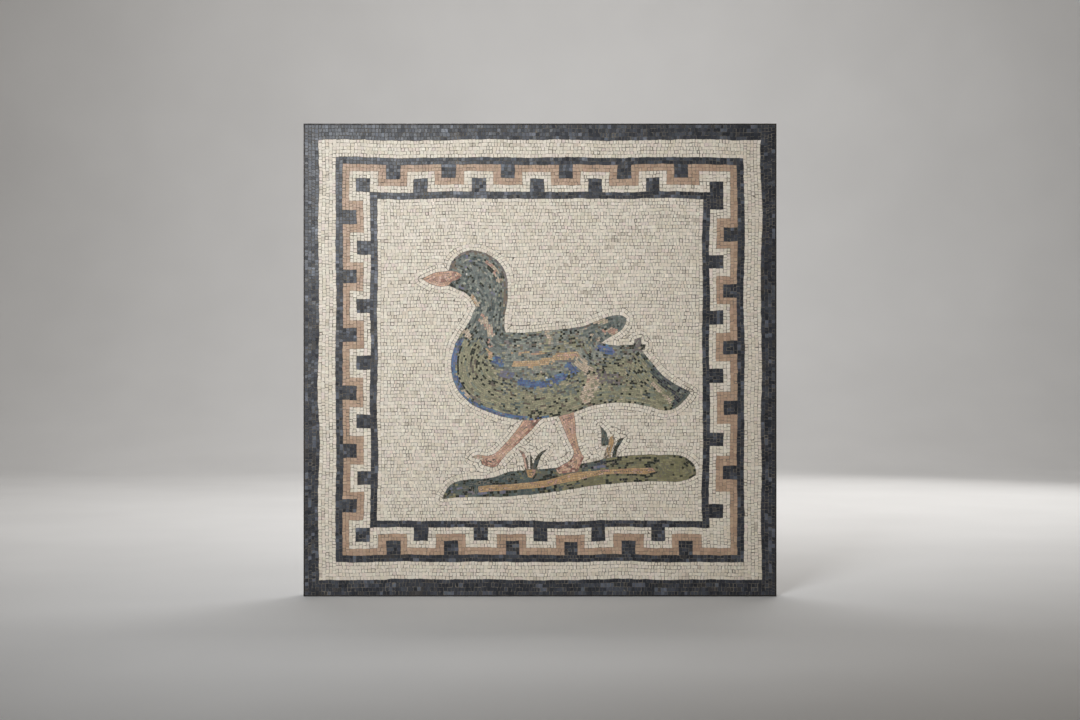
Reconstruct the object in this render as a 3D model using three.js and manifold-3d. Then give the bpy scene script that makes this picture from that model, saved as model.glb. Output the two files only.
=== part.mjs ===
// A square wall mosaic in a Roman manner: a duck on a strip of ground, inside a crenellated fret border.
// A steel edge bar holds a cast mortar bed, and the stone tesserae are set in the bed, flush with the bar.
// Each area of one stone is a solid of its own, the thickness of its tesserae.
//
// Millimetres, +Z up. The picture faces -Y, and the origin is the centre of the flat back.

import * as THREE from 'three';
import { mergeVertices } from 'three/addons/utils/BufferGeometryUtils.js';
import Module from 'manifold-3d';

const wasm = await Module();
wasm.setup();

// ---------------------------------------------------------------- driving dimensions, in millimetres

const PANEL_SIDE = 1219; // 48 inches, square
const PANEL_DEPTH = 40;
const EDGE_BAR_THICKNESS = 3;
const TESSERA_DEPTH = 8;
const GAP = 0.3; // between one solid and the next
const CUTTER_REACH = 1; // how far a cutting solid runs past the faces that it cuts

// The picture is counted in modules: one row of border tesserae with its joint.
const PANEL_MODULES = 136;
const MODULE = (PANEL_SIDE - 2 * EDGE_BAR_THICKNESS - GAP) / PANEL_MODULES;

// Widths of the nested square bands, in modules, from the edge bar inwards.
const SLATE_BORDER = 4;
const CREAM_BORDER = 5;
const FRET_LINE = 2; // the slate line on either side of the fret
const FRET_DEPTH = 8; // between the two lines

// Half sides of the nested squares, in modules.
const HALF_PANEL = PANEL_MODULES / 2;
const HALF_CREAM = HALF_PANEL - SLATE_BORDER;
const HALF_OUTER_LINE = HALF_CREAM - CREAM_BORDER;
const HALF_FRET = HALF_OUTER_LINE - FRET_LINE;
const HALF_INNER_LINE = HALF_FRET - FRET_DEPTH;
const HALF_FIELD = HALF_INNER_LINE - FRET_LINE;

// The fret, in modules. Depth is counted from the outer line's inner edge towards the picture.
const FRET_SIDE = 2 * HALF_FRET;
const TOOTH_WIDTH = 4;
const TOOTH_HEIGHT = 4;
const RIBBON = 2; // width of the terracotta and of the cream that wrap the teeth

// Centres of the teeth along each side, in modules from the side's start: the left end of the top and
// bottom sides, the upper end of the left and right sides. They were laid by eye, so they aren't even.
const OUTER_TEETH = {
  top: [14.7, 30.7, 47.8, 64.6, 81.4, 97.8],
  right: [20.4, 36.9, 53.5, 70.9, 89.7],
  bottom: [14.7, 31.3, 49.1, 66, 82.5, 99],
  left: [15.4, 32.8, 49.8, 66.5, 83.3, 99.3],
};
const INNER_TEETH = {
  top: [22.6, 39.3, 56.2, 73.2, 89.7],
  right: [28.4, 44.7, 61.5, 80.1, 101],
  bottom: [22.6, 39.8, 57.2, 73.9, 91],
  left: [24.4, 41.4, 57.8, 74.7, 91.2],
};

// A tooth stands in three corners of the fret: a square in the two left ones, a tall block in the upper
// right one. The lower right corner has none.
const CORNER_SQUARE = 4;
const CORNER_BLOCK_TOP = 5;
const CORNER_BLOCK_BOTTOM = 13;

const SPLINE_STEP = 1.6; // modules between the points of a smooth outline

// ---------------------------------------------------------------- materials

const stone = (color) => new THREE.MeshStandardMaterial({ color, roughness: 0.6, metalness: 0 });

const materials = {
  steel: new THREE.MeshStandardMaterial({ color: 0x26262a, roughness: 0.45, metalness: 0.9 }),
  mortar: new THREE.MeshStandardMaterial({ color: 0xa8a096, roughness: 0.9, metalness: 0 }),
  slate: stone(0x6d7074),
  cream: stone(0xd8cfc0),
  terracotta: stone(0xbb9a82),
  duckGreen: stone(0x7c8074),
  salmon: stone(0xc29c84),
  groundGreen: stone(0x6c7064),
  orange: stone(0xb8926a),
  blackGreen: stone(0x4c5048),
};

// ---------------------------------------------------------------- outlines

// Points of an outline made of smooth arcs, each a list of [x, z] in modules. An arc starts where the one
// before it ends, at a sharp corner, and the last arc ends where the first begins.
function smoothOutline(...arcs) {
  const points = [];
  arcs.forEach((arc, index) => {
    const nextStart = arcs[(index + 1) % arcs.length][0];
    const knots = [...arc, nextStart].map(([x, z]) => new THREE.Vector3(x, 0, z));
    const curve = new THREE.CatmullRomCurve3(knots, false, 'centripetal');
    const steps = knots.length === 2 ? 1 : Math.max(2, Math.round(curve.getLength() / SPLINE_STEP));
    const samples = curve.getSpacedPoints(steps);
    samples.slice(0, -1).forEach((point) => points.push([point.x, point.z]));
  });
  return points;
}

const square = (half) => [[-half, -half], [half, -half], [half, half], [-half, half]];

const rectangle = (left, bottom, right, top) => [[left, bottom], [right, bottom], [right, top], [left, top]];

// A point of the fret, from its place along one side and its depth, in modules.
function onSide(side, along, depth) {
  switch (side) {
    case 'top': return [-HALF_FRET + along, HALF_FRET - depth];
    case 'bottom': return [-HALF_FRET + along, -HALF_FRET + depth];
    case 'left': return [-HALF_FRET + depth, HALF_FRET - along];
    default: return [HALF_FRET - depth, HALF_FRET - along];
  }
}

// A closed line that runs round the fret at `base` depth and steps to `step` depth between the two ends
// of every stretch in `stretches[side]`.
function crenellatedLine(base, step, stretches) {
  const sidePoints = (side) => {
    const steps = stretches[side].flatMap(([start, end]) => [
      [start, base], [start, step], [end, step], [end, base],
    ]);
    const last = FRET_SIDE - base;
    return [[base, base], ...steps, [last, base]].map(([along, depth]) => onSide(side, along, depth));
  };
  const clockwise = [
    ...sidePoints('top'),
    ...sidePoints('right'),
    ...sidePoints('bottom').reverse(),
    ...sidePoints('left').reverse(),
  ];
  return clockwise.filter(([x, z], index) => {
    const [nextX, nextZ] = clockwise[(index + 1) % clockwise.length];
    return Math.hypot(nextX - x, nextZ - z) > 1e-6;
  });
}

const SIDES = ['top', 'right', 'bottom', 'left'];

const forEachSide = (stretchesOf) => Object.fromEntries(SIDES.map((side) => [side, stretchesOf(side)]));

const toothStretch = (centre) => [centre - TOOTH_WIDTH / 2, centre + TOOTH_WIDTH / 2];

// Centre of the corner tooth at either end of a side, or of the cream that fills the bare corner.
const CORNER_CENTRE = RIBBON + TOOTH_WIDTH;
const BLOCK_LOWER_CENTRE = CORNER_BLOCK_BOTTOM - TOOTH_WIDTH / 2;

// The terracotta reaches down round each outer tooth, to midway between that tooth and its neighbours.
function ribbonStretch(side, centre) {
  const first = side === 'right' ? BLOCK_LOWER_CENTRE : CORNER_CENTRE;
  const others = [first, ...INNER_TEETH[side], FRET_SIDE - CORNER_CENTRE];
  const before = Math.max(...others.filter((other) => other < centre));
  const after = Math.min(...others.filter((other) => other > centre));
  return [(before + centre) / 2, (centre + after) / 2];
}

const outerToothLine = crenellatedLine(0, TOOTH_HEIGHT, forEachSide(
  (side) => OUTER_TEETH[side].map(toothStretch),
));

const ribbonLine = crenellatedLine(RIBBON, RIBBON + TOOTH_HEIGHT, forEachSide(
  (side) => OUTER_TEETH[side].map((centre) => ribbonStretch(side, centre)),
));

const innerToothLine = crenellatedLine(FRET_DEPTH, FRET_DEPTH - TOOTH_HEIGHT, forEachSide(
  (side) => {
    const teeth = INNER_TEETH[side].map(toothStretch);
    return side === 'right' ? [[CORNER_BLOCK_TOP, CORNER_BLOCK_BOTTOM], ...teeth] : teeth;
  },
));

const cornerSquare = (zSign) => {
  const near = HALF_INNER_LINE;
  const far = HALF_INNER_LINE + CORNER_SQUARE;
  return zSign > 0 ? rectangle(-far, near, -near, far) : rectangle(-far, -far, -near, -near);
};

// ---------------------------------------------------------------- the picture's outlines, in modules

const duckBody = smoothOutline(
  // Forehead, crown, nape and back of the neck.
  [[-26.4, 25.6], [-25.6, 28.3], [-23.1, 30.6], [-18.8, 31.6], [-13.5, 29.8], [-10.1, 25.6], [-9.4, 18.9],
    [-10.4, 10.8]],
  // Back and upper edge of the wing.
  [[-10, 8], [-5.6, 7.8], [4.7, 8.6], [12.4, 9.5], [19.1, 12.4], [23.4, 13]],
  // Wing tip and its lower edge.
  [[25.1, 12], [24.3, 9.5], [20.5, 6.8]],
  // Rump.
  [[17.2, 4.7], [21.5, 4.3]],
  // The stub of a feather that stands up at the root of the tail, and the bar that crosses it.
  [[27.2, 4.3]],
  [[27.5, 5.9]],
  [[29.4, 6.4]],
  [[29.5, 4.5]],
  [[30.8, 4.5]],
  [[30.4, 3.2]],
  // Upper edge of the tail.
  [[29.5, 2.9], [32.6, -1.2], [37.2, -5.9]],
  // Tail tip, underside, belly, breast and throat.
  [[43.6, -9.3], [42.1, -11.3], [37.4, -14.4], [27.7, -12.6], [17, -12.6], [6.6, -15.9], [-3.5, -17.6],
    [-13.5, -15.6], [-21.5, -11.4], [-25.3, -4.5], [-24.6, 4], [-20.2, 11.9]],
  // Cheek.
  [[-18.6, 15.5], [-20.5, 18.6], [-23.4, 20.3]],
  [[-26.3, 21.3]],
);

const duckBill = smoothOutline(
  [[-34.5, 23.3], [-30.5, 25.1], [-26.6, 25.6], [-24, 25.3]],
  [[-22.6, 24.4], [-23.8, 23.2], [-25.4, 22.8]],
  [[-26.6, 21.4], [-30.2, 21.3]],
);

const frontLeg = smoothOutline(
  [[-4, -16.4], [-9.4, -23.5], [-14.4, -27.9], [-18.7, -27.4]],
  [[-19.8, -28.1], [-16.8, -29.3]],
  [[-16.7, -30.4], [-13, -31.2], [-10.6, -28.5], [-3.9, -21.5]],
  [[1.6, -16.2]],
);

const rearLeg = smoothOutline(
  [[4.6, -15], [7.9, -22.3], [10, -27.5]],
  [[4.5, -31.5]],
  [[5.2, -32.9]],
  [[11, -32.3]],
  [[12.8, -28], [11, -24.2], [9.9, -16.5]],
  [[9.6, -13.6]],
);

const ground = smoothOutline(
  [[-28.3, -40.5], [-25.6, -36], [-21, -34.6], [-13.7, -34.2], [-8.5, -32.6], [1.3, -31.6], [12.7, -29.8],
    [19.9, -28.2], [32.8, -27.5], [41.4, -27.9], [44.6, -30.2]],
  [[45.4, -33.4], [41.5, -35], [30.2, -35.4], [17.4, -36.1], [4.4, -38], [-9, -39.9], [-20, -39.8]],
);

const groundStripe = smoothOutline(
  [[-17.5, -36.5], [-9, -36.2], [0.3, -35], [9.6, -32.7], [19.9, -31.6]],
  [[32.6, -31.3]],
  [[33.8, -32.3]],
  [[30.7, -33.3], [19.9, -33], [9.6, -35], [-2.8, -37.4], [-9, -38]],
  [[-17.5, -38.5]],
);

// Blades of grass. Each is given from its foot, which the ground covers, up one edge and down the other.
const grassBlades = [
  ['near_tuft_left_blade', smoothOutline(
    [[-4.1, -32.6], [-4.8, -29.2], [-5.4, -27.5]],
    [[-6.1, -26.1], [-4.6, -27.1], [-3.8, -28.6], [-3.4, -30.6]],
    [[-3.3, -32.6]],
  ), 'salmon'],
  ['near_tuft_middle_blade', smoothOutline(
    [[-2.8, -32.4], [-2.9, -29.5]],
    [[-3.1, -26.8], [-2.5, -28.4], [-2.2, -30.4]],
    [[-2.1, -32.4]],
  ), 'blackGreen'],
  ['near_tuft_right_blade', smoothOutline(
    [[-1.9, -32.6], [-1.9, -29.8], [-1.2, -27.9], [0, -26.6]],
    [[1.9, -25.7], [0.6, -27.1], [-0.3, -28.6], [-0.8, -30.4]],
    [[-1, -32.6]],
  ), 'blackGreen'],
  ['far_tuft_left_leaf', smoothOutline(
    [[17.4, -18.8]],
    [[18.3, -19.8], [19.3, -20.9], [19.8, -22.6]],
    [[19.7, -24.4]],
    [[17.9, -24.6], [17.9, -22], [17.8, -20]],
  ), 'slate'],
  ['far_tuft_middle_blade', smoothOutline(
    [[18.4, -29], [18.8, -26.3], [19.8, -24.4]],
    [[20.2, -22.4]],
    [[21.4, -21.4], [21.3, -24], [20.6, -26.4]],
    [[20.5, -29]],
  ), 'orange'],
  ['far_tuft_right_blade', smoothOutline(
    [[20.8, -28.8], [21.2, -26.4], [22, -24.2], [22.8, -22.9]],
    [[24.3, -22.5], [23.4, -24.2], [22.5, -25.6], [22, -27]],
    [[21.8, -28.8]],
  ), 'blackGreen'],
];

// The earthy foot of the near tuft, set into the upper edge of the ground.
const nearTuftBase = smoothOutline(
  [[-4, -31.8]],
  [[-3.5, -34], [-2.4, -34.4], [-1.6, -33.8]],
  [[-1.2, -31.6]],
);

// ---------------------------------------------------------------- outlines to solids

const signedArea = (points) => points.reduce((sum, [x, z], index) => {
  const [nextX, nextZ] = points[(index + 1) % points.length];
  return sum + (x * nextZ - nextX * z) / 2;
}, 0);

// An outline in millimetres, counterclockwise, with every edge moved out by `distance`, or in if negative.
function offsetOutline(outline, distance) {
  const ordered = signedArea(outline) > 0 ? outline : [...outline].reverse();
  const points = ordered.map(([x, z]) => new THREE.Vector2(x, z).multiplyScalar(MODULE));
  return points.map((point, index) => {
    const previous = points[(index + points.length - 1) % points.length];
    const next = points[(index + 1) % points.length];
    const directionIn = point.clone().sub(previous).normalize();
    const directionOut = next.clone().sub(point).normalize();
    const normalIn = new THREE.Vector2(directionIn.y, -directionIn.x);
    const normalOut = new THREE.Vector2(directionOut.y, -directionOut.x);
    const mitre = normalIn.clone().add(normalOut);
    const reach = (2 * distance) / mitre.lengthSq();
    return point.clone().addScaledVector(mitre, reach);
  });
}

// A slab of the given outline, with its front face at -front and its back face at -back.
function slab(points, back, front) {
  const geometry = new THREE.ExtrudeGeometry(new THREE.Shape(points), {
    depth: front - back,
    bevelEnabled: false,
  });
  geometry.rotateX(Math.PI / 2);
  geometry.translate(0, -back, 0);
  return geometry;
}

function toManifold(geometry) {
  const bare = geometry.clone();
  bare.deleteAttribute('normal');
  bare.deleteAttribute('uv');
  const merged = mergeVertices(bare, 1e-5);
  return new wasm.Manifold(new wasm.Mesh({
    numProp: 3,
    vertProperties: new Float32Array(merged.attributes.position.array),
    triVerts: new Uint32Array(merged.index.array),
  }));
}

function toGeometry(solid) {
  const mesh = solid.getMesh();
  const geometry = new THREE.BufferGeometry();
  geometry.setAttribute('position', new THREE.BufferAttribute(new Float32Array(mesh.vertProperties), 3));
  geometry.setIndex(new THREE.BufferAttribute(new Uint32Array(mesh.triVerts), 1));
  geometry.computeVertexNormals();
  return geometry;
}

const TESSERA_BACK = PANEL_DEPTH - TESSERA_DEPTH;

// The tesserae of one area: its outline, less the outlines of the areas that lie inside or over it.
function inlay(outline, coveredBy) {
  const body = toManifold(slab(offsetOutline(outline, -GAP / 2), TESSERA_BACK, PANEL_DEPTH));
  return toGeometry(coveredBy.reduce((left, cover) => left.subtract(toManifold(
    slab(offsetOutline(cover, GAP / 2), TESSERA_BACK - CUTTER_REACH, PANEL_DEPTH + CUTTER_REACH),
  )), body));
}

// ---------------------------------------------------------------- the parts

function addMesh(group, name, geometry, material) {
  const mesh = new THREE.Mesh(geometry, material);
  mesh.name = name;
  group.add(mesh);
}

function edgeFrame() {
  const half = PANEL_SIDE / 2;
  const inside = half - EDGE_BAR_THICKNESS;
  const shape = new THREE.Shape(square(half).map(([x, z]) => new THREE.Vector2(x, z)));
  shape.holes.push(new THREE.Path(square(inside).map(([x, z]) => new THREE.Vector2(x, z))));
  const geometry = new THREE.ExtrudeGeometry(shape, { depth: PANEL_DEPTH, bevelEnabled: false });
  geometry.rotateX(Math.PI / 2);
  return geometry;
}

function mortarBed() {
  const half = PANEL_SIDE / 2 - EDGE_BAR_THICKNESS - GAP;
  return slab(square(half).map(([x, z]) => new THREE.Vector2(x, z)), 0, TESSERA_BACK - GAP);
}

// The stone areas, in the order they are nested: each one is covered by all that come after it.
const stoneAreas = [
  ['slate_border', square(HALF_PANEL), 'slate'],
  ['cream_border', square(HALF_CREAM), 'cream'],
  ['fret_slate_outer', square(HALF_OUTER_LINE), 'slate'],
  ['fret_terracotta', outerToothLine, 'terracotta'],
  ['fret_cream', ribbonLine, 'cream'],
  ['fret_slate_inner', innerToothLine, 'slate'],
  ['fret_corner_square_upper', cornerSquare(1), 'slate'],
  ['fret_corner_square_lower', cornerSquare(-1), 'slate'],
  ['cream_field', square(HALF_FIELD), 'cream'],
  ['duck_front_leg', frontLeg, 'salmon'],
  ...grassBlades,
  ['ground', ground, 'groundGreen'],
  ['ground_stripe', groundStripe, 'orange'],
  ['near_tuft_base', nearTuftBase, 'orange'],
  ['duck_rear_leg', rearLeg, 'salmon'],
  ['duck_body', duckBody, 'duckGreen'],
  ['duck_bill', duckBill, 'salmon'],
];

function buildPanel() {
  const panel = new THREE.Group();
  addMesh(panel, 'edge_frame', edgeFrame(), materials.steel);
  addMesh(panel, 'mortar_bed', mortarBed(), materials.mortar);
  stoneAreas.forEach(([name, outline, material], index) => {
    const coveredBy = stoneAreas.slice(index + 1).map(([, cover]) => cover);
    addMesh(panel, name, inlay(outline, coveredBy), materials[material]);
  });
  return panel;
}

const group = buildPanel();

export default group;
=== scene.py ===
"""Looks of the mosaic panel: every tessera is a small closed stone of its own, laid in rows as by hand.

Places are counted in modules, one row of border tesserae with its joint, from the panel's centre: x to the
right and z up, as the picture is seen from the front. They become metres when a mesh is made. The outlines
of the bands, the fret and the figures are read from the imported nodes, so the stones fill just those areas.
"""

import math

import bpy
import numpy as np
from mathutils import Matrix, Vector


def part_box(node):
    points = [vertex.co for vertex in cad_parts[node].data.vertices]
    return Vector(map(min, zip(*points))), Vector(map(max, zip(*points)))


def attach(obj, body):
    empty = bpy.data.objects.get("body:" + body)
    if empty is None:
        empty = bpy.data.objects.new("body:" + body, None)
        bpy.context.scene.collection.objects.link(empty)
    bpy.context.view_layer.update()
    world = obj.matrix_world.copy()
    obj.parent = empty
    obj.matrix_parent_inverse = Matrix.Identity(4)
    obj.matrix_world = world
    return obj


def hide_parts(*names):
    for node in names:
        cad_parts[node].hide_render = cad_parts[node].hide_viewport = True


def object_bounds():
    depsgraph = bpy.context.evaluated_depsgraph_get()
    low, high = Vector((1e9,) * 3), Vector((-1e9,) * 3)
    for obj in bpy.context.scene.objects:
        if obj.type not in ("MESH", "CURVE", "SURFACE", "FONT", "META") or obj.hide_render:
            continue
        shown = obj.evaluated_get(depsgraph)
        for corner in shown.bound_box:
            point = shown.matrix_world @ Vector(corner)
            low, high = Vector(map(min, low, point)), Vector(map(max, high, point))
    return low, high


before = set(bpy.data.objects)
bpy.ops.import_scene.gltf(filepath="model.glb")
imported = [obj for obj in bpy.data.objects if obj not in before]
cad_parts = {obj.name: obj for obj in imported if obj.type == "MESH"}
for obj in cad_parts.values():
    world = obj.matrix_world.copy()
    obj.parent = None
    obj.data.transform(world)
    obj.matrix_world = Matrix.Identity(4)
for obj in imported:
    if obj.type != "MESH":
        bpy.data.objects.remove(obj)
cad_low, cad_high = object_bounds()

rng = np.random.default_rng(1219)

# ---- sizes, from the frame

CLEARANCE = 0.0003  # the gap that neighbouring nodes keep, in metres
PANEL_MODULES = 136
border_low, border_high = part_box("slate_border")
MODULE = (border_high[0] - border_low[0] + CLEARANCE) / PANEL_MODULES
MILLIMETRE = 0.001

FRONT = cad_low[1]  # the faces of the proudest stones
STONE_BACK = border_high[1]
MORTAR_RECESS = 0.95 * MILLIMETRE  # how far the joints lie behind the panel's front


def half_side(node):
    """Half the width of a square band's node, in whole modules."""
    low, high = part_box(node)
    return round((high[0] - low[0]) / 2 / MODULE)


HALF_PANEL = half_side("slate_border")
HALF_CREAM = half_side("cream_border")
HALF_FRET_LINE = half_side("fret_slate_outer")
HALF_FIELD = half_side("cream_field")

FRET_STONES = {
    "fret_slate_outer": "slate",
    "fret_terracotta": "terracotta",
    "fret_cream": "cream",
    "fret_slate_inner": "slate",
    "fret_corner_square_upper": "slate",
    "fret_corner_square_lower": "slate",
}
CONTOUR_ROWS = 2  # rows of the field that follow the figures' outlines


# ---- outlines and distances


def triples(items, key, kind):
    """One attribute of all items of a mesh, three numbers an item, as rows of an array."""
    values = np.empty(len(items) * 3, kind)
    items.foreach_get(key, values)
    return values.reshape(-1, 3)


def front_outline(node):
    """The edges of a node's front face, as an array of (x, z) pairs in modules."""
    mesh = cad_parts[node].data
    mesh.calc_loop_triangles()
    places = triples(mesh.vertices, "co", float)
    corners = triples(mesh.loop_triangles, "vertices", int)
    in_front = places[:, 1] < places[:, 1].min() + MILLIMETRE / 10
    faces = corners[in_front[corners].all(1)]
    spots, same = np.unique(places[:, ::2].round(6), axis=0, return_inverse=True)
    faces = same.reshape(-1)[faces]
    edges = np.sort(np.vstack([faces[:, [0, 1]], faces[:, [1, 2]], faces[:, [2, 0]]]), axis=1)
    edges, uses = np.unique(edges, axis=0, return_counts=True)
    return spots[edges[uses == 1]] / MODULE


BATCH = 20000  # points worked on at a time, to spare memory


def in_batches(measure):
    """Makes a measure of points against edges take the points a batch at a time."""

    def whole(points, edges):
        batches = range(0, len(points), BATCH)
        return np.concatenate([measure(points[k : k + BATCH], edges) for k in batches])

    return whole


@in_batches
def distance_to_edges(points, edges):
    """Distance from each point to the nearest of some straight edges."""
    start, along = edges[:, 0], edges[:, 1] - edges[:, 0]
    offsets = points[:, None] - start
    share = ((offsets * along).sum(2) / (along**2).sum(1)).clip(0, 1)
    gap = offsets - share[..., None] * along
    return np.sqrt((gap**2).sum(2)).min(1)


@in_batches
def is_inside(points, edges):
    """True for each point that closed outlines, given by their edges, go round an odd number of times."""
    (x1, z1), (x2, z2) = edges[:, 0].T, edges[:, 1].T
    slope = (x2 - x1) / np.where(z1 == z2, 1, z2 - z1)
    x, z = points.T[:, :, None]
    crossed = ((z1 > z) != (z2 > z)) & (x < x1 + (z - z1) * slope)
    return crossed.sum(1) % 2 == 1


def chain(ends):
    """Closed loops of point numbers, from an array of linked pairs."""
    links = {}
    for a, b in ends.tolist():
        links.setdefault(a, []).append(b)
        links.setdefault(b, []).append(a)
    loops = []
    while links:
        start, (after, *_) = next(iter(links.items()))
        loop, before, here = [start], start, after
        while here != start:
            loop.append(here)
            first, last = (links[here] * 2)[:2]
            before, here = here, last if first == before else first
        for point in loop:
            links.pop(point, None)
        loops.append(loop)
    return loops


LAST_CELL = 1.001  # of a grid: how far its last cell begins before its end, and a hair more


class DistanceField:
    """Distance to closed outlines on a square grid: positive inside them, or outside them if `around`."""

    def __init__(self, edges, step, margin, around=False):
        self.step = step
        self.low = edges.min((0, 1)) - margin
        high = edges.max((0, 1)) + margin
        self.nx, self.nz = np.ceil((high - self.low) / step).astype(int) + 1
        xs = self.low[0] + step * np.arange(self.nx)
        zs = self.low[1] + step * np.arange(self.nz)
        points = np.stack(np.meshgrid(xs, zs), -1).reshape(-1, 2)
        sign = np.where(is_inside(points, edges) != around, 1, -1)
        self.values = (sign * distance_to_edges(points, edges)).reshape(self.nz, self.nx)

    def sample(self, points):
        """The distance at any points, between those of the grid."""
        place = (np.asarray(points) - self.low) / self.step
        x = place[..., 0].clip(0, self.nx - LAST_CELL)
        z = place[..., 1].clip(0, self.nz - LAST_CELL)
        i, j = z.astype(int), x.astype(int)
        fx, fz = x - j, z - i
        v = self.values
        lower = v[i, j] * (1 - fx) + v[i, j + 1] * fx
        upper = v[i + 1, j] * (1 - fx) + v[i + 1, j + 1] * fx
        return lower * (1 - fz) + upper * fz

    def slope(self, points):
        """Which way the distance grows fastest, as unit vectors, and how fast."""
        steps = self.step * np.eye(2)
        rises = [self.sample(points + step) - self.sample(points - step) for step in steps]
        rise = np.stack(rises, -1) / (2 * self.step)
        steepness = np.sqrt((rise**2).sum(-1, keepdims=True)).clip(1e-6)
        return rise / steepness, steepness

    def contours(self, level):
        """The closed loops along which the distance equals `level`, as arrays of points."""
        v = self.values - level
        over = v > 0
        changes = (over[:, :-1] != over[:, 1:], over[:-1] != over[1:])  # on level and on upright edges
        corners_over = over[:-1, :-1].astype(int) + over[:-1, 1:] + over[1:, :-1] + over[1:, 1:]
        i, j = np.nonzero(corners_over % 4)
        sides = ((0, i, j), (1, i, j + 1), (0, i + 1, j), (1, i, j))  # of the cells; 1 is upright
        ids = np.stack([2 * (row * self.nx + column) + up for up, row, column in sides], 1)
        crossed = np.stack([changes[up][row, column] for up, row, column in sides], 1)
        single, saddle = crossed.sum(1) == 2, crossed.sum(1) == 4
        pairs = [ids[single][crossed[single]].reshape(-1, 2)]
        middle = v[i, j] + v[i, j + 1] + v[i + 1, j] + v[i + 1, j + 1] > 0
        turned = (middle == over[i, j])[saddle]
        four = ids[saddle]
        pairs += [four[turned][:, [0, 1]], four[turned][:, [2, 3]]]
        pairs += [four[~turned][:, [0, 3]], four[~turned][:, [1, 2]]]
        return [self.crossing(v, np.array(loop)) for loop in chain(np.vstack(pairs))]

    def crossing(self, v, ids):
        """Where v is zero on the grid edges of those numbers."""
        row, column = np.divmod(ids // 2, self.nx)
        up = ids % 2
        here = v[row, column]
        there = v[row + up, column + 1 - up]
        share = here / (here - there)
        return self.low + self.step * np.stack([column + share * (1 - up), row + share * up], 1)


# ---- laying rows

UNEVEN = 0.22  # how much the lengths of stones in a row differ


def uneven_cuts(start, end, pitch):
    """Where the stones of a stretch of row begin and end."""
    count = max(1, round((end - start) / pitch))
    lengths = rng.uniform(1 - UNEVEN, 1 + UNEVEN, count)
    return start + (end - start) * np.concatenate([[0], np.cumsum(lengths) / lengths.sum()])


def straight_row(start, end, low, high, pitch, upright):
    """Stones of a straight row, as an array of four-cornered outlines. It runs along z if upright, or x."""
    cuts = uneven_cuts(start, end, pitch)
    a, b = cuts[:-1], cuts[1:]
    low, high = np.full(len(a), low), np.full(len(a), high)
    if upright:
        return np.stack([low, a, high, a, high, b, low, b], 1).reshape(-1, 4, 2)
    return np.stack([a, low, b, low, b, high, a, high], 1).reshape(-1, 4, 2)


def band_rows(half_outer, half_inner):
    """The rows of a square band: the left and right ones run through the corners.

    Each is (first end, other end, lower side, upper side, upright)."""
    for row in range(half_inner, half_outer):
        for near, far in ((-row - 1, -row), (row, row + 1)):
            yield -half_outer, half_outer, near, far, True
            yield -half_inner, half_inner, near, far, False


def stretches(edges, start, end, level, upright):
    """The stretches of a straight line at `level` that lie inside some outlines."""
    across, along = (0, 1) if upright else (1, 0)
    a, b = edges[:, 0], edges[:, 1]
    meets = (a[:, across] > level) != (b[:, across] > level)
    a, b = a[meets], b[meets]
    share = (level - a[:, across]) / (b[:, across] - a[:, across])
    spots = np.sort(a[:, along] + share * (b[:, along] - a[:, along])).reshape(-1, 2)
    half_gap = CLEARANCE / MODULE / 2
    spots = (spots + [-half_gap, half_gap]).clip(start, end)
    return [(first, last) for first, last in spots if last - first > 4 * half_gap]


def clipped(corners, heights):
    """The part of a convex outline where the heights, given at its corners, aren't negative."""
    kept = []
    for k in range(len(corners)):
        here, there = corners[k - 1], corners[k]
        h1, h2 = heights[k - 1], heights[k]
        if (h1 < 0) != (h2 < 0):
            kept.append(here + (there - here) * h1 / (h1 - h2))
        if h2 >= 0:
            kept.append(there)
    return np.array(kept)


def area(corners):
    """The area of an outline, positive if it runs anticlockwise."""
    x, z = corners[..., 0], corners[..., 1]
    return ((x * np.roll(z, -1, -1)) - (np.roll(x, -1, -1) * z)).sum(-1) / 2


def side_lengths(outlines):
    """The length of each side of closed outlines, from its corner to the next."""
    return np.sqrt(((np.roll(outlines, -1, -2) - outlines) ** 2).sum(-1))


def breadth(corners):
    """Twice the area over the perimeter: half the side of a square, and little for a sliver."""
    return 2 * area(corners) / side_lengths(corners).sum(-1)


def convex(corners):
    """The outline, anticlockwise, less any corner at which it turns the wrong way."""
    if area(corners) < 0:
        corners = corners[::-1]
    while len(corners) > 2:
        before = corners - np.roll(corners, 1, 0)
        after = np.roll(corners, -1, 0) - corners
        turn = before[:, 0] * after[:, 1] - before[:, 1] * after[:, 0]
        if turn.min() > 0:
            break
        corners = np.delete(corners, turn.argmin(), 0)
    return corners


def trimmed(stones, heights, least_breadth):
    """Stones cut where the heights at their corners turn negative, less any sliver that is left."""
    kept = list(stones[(heights >= 0).all(1)])
    cut = (heights >= 0).any(1) & (heights < 0).any(1)
    for corners, levels in zip(stones[cut], heights[cut], strict=True):
        piece = convex(clipped(corners, levels))
        if len(piece) > 2 and breadth(piece) > least_breadth:
            kept.append(piece)
    return kept


SHARP_WINDOW = 0.45  # modules before and after a place, over which a loop's turn is judged
SHARP_TURN = 0.62  # radians of turn that make a corner


def along_loop(points, lengths, distances):
    """Places at some distances along a closed loop whose sides have those lengths."""
    at = np.concatenate([[0], np.cumsum(lengths)])
    closed = np.vstack([points, points[:1]])
    distances = distances % lengths.sum()
    return np.stack([np.interp(distances, at, closed[:, k]) for k in (0, 1)], 1)


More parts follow.
